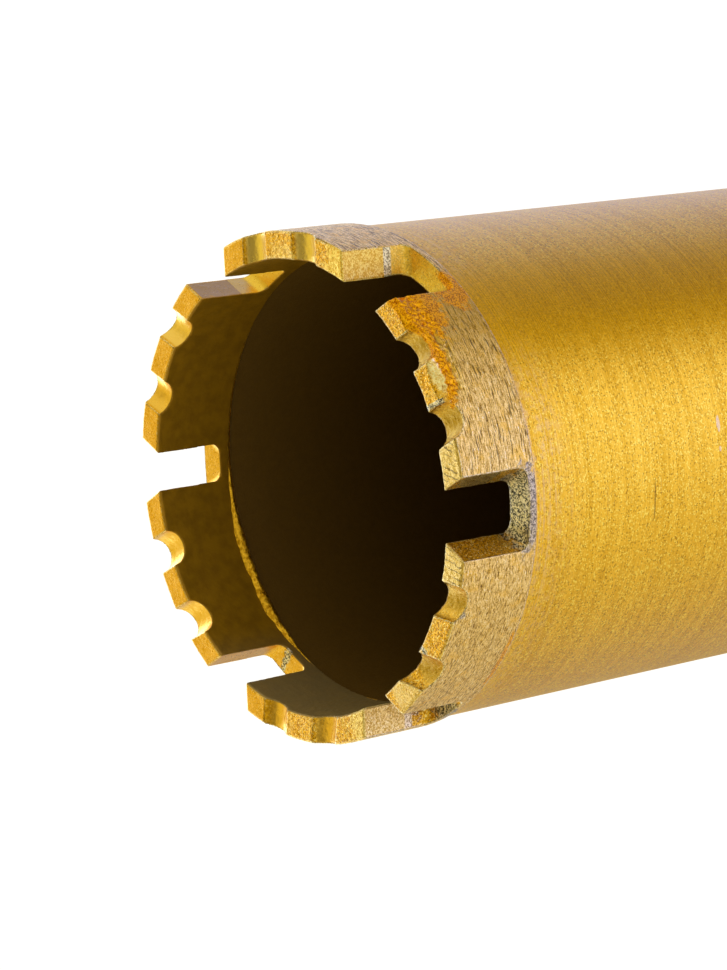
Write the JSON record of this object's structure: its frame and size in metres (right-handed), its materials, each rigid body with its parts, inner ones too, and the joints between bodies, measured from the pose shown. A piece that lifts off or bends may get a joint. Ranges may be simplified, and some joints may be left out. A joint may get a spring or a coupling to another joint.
{
  "type": "diamond core bit",
  "caption": "Hollow drill bit: thin steel barrel with a ring of notched diamond segments at the cutting end and a threaded hub at the closed end, for cutting round holes in masonry.",
  "frame": {"origin": "centre of the hub's flat end, on the surface that the bit stands on", "axes": "+Z along the bit's axis from the hub to the cutting tips; +X close to the middle of the first segment"},
  "size_m": [0.063, 0.063, 0.1895],
  "materials": {
    "diamond_matrix": "gritty sintered metal with diamond grains, gold coloured, ground on the outside",
    "crown_backing": "gold paint over grey sintered metal, ground in fine lines round the outside and bare in the slots",
    "braze_metal": "ragged run-in braze, dull gold",
    "gold_paint": "metallic gold paint with fine sparkle over fine turned lines",
    "hub_steel": "metallic gold paint on turned steel, bare in the thread",
    "weld_metal": "rippled weld bead under gold paint"
  },
  "bodies": {
    "root": {"segment_1": "diamond_matrix", "segment_2": "diamond_matrix", "segment_3": "diamond_matrix", "segment_4": "diamond_matrix", "segment_5": "diamond_matrix", "segment_6": "diamond_matrix", "crown_ring": "crown_backing", "inner_braze": "braze_metal", "barrel": "gold_paint", "end_plate": "gold_paint", "hub": "hub_steel", "plate_weld": "weld_metal", "hub_weld": "weld_metal"}
  },
  "joints": []
}
